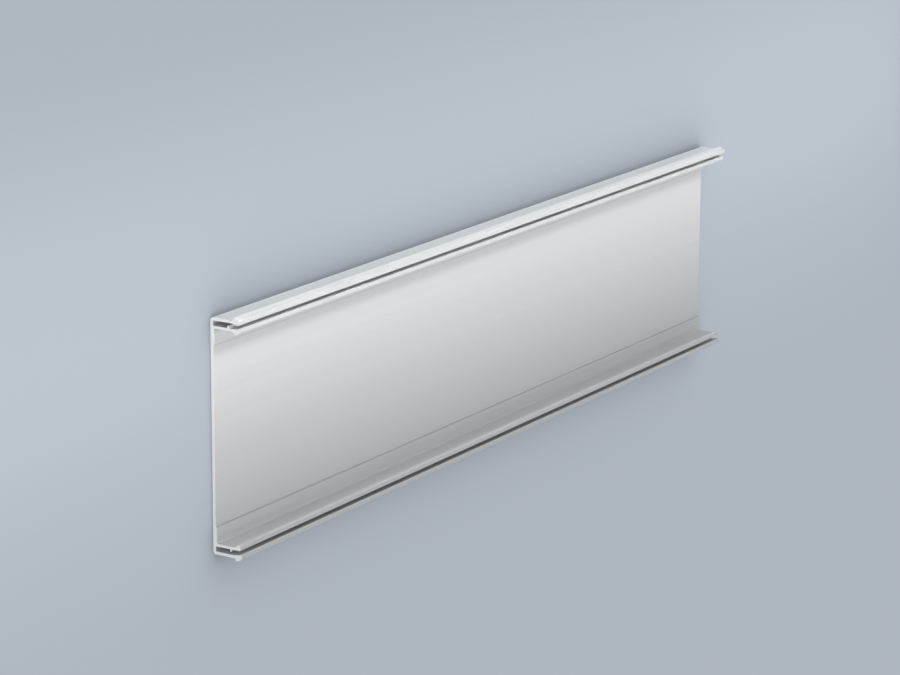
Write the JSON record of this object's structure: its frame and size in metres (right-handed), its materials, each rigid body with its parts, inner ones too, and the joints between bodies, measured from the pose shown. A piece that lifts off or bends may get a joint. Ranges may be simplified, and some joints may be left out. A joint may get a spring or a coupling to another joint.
{
  "type": "busbar system base tray",
  "caption": "Wide shallow channel of extruded rigid PVC with double-walled snap flanges. It lies behind busbars as a touch guard and takes a clip-on cover.",
  "frame": {"origin": "middle of the back face, on the surface that the tray lies on", "axes": "+X along the length, +Y across the tray, +Z out of its open side"},
  "size_m": [0.9, 0.2204, 0.0305],
  "materials": {
    "rigid_pvc": "satin"
  },
  "bodies": {
    "root": {"base_tray": "rigid_pvc"}
  },
  "joints": []
}
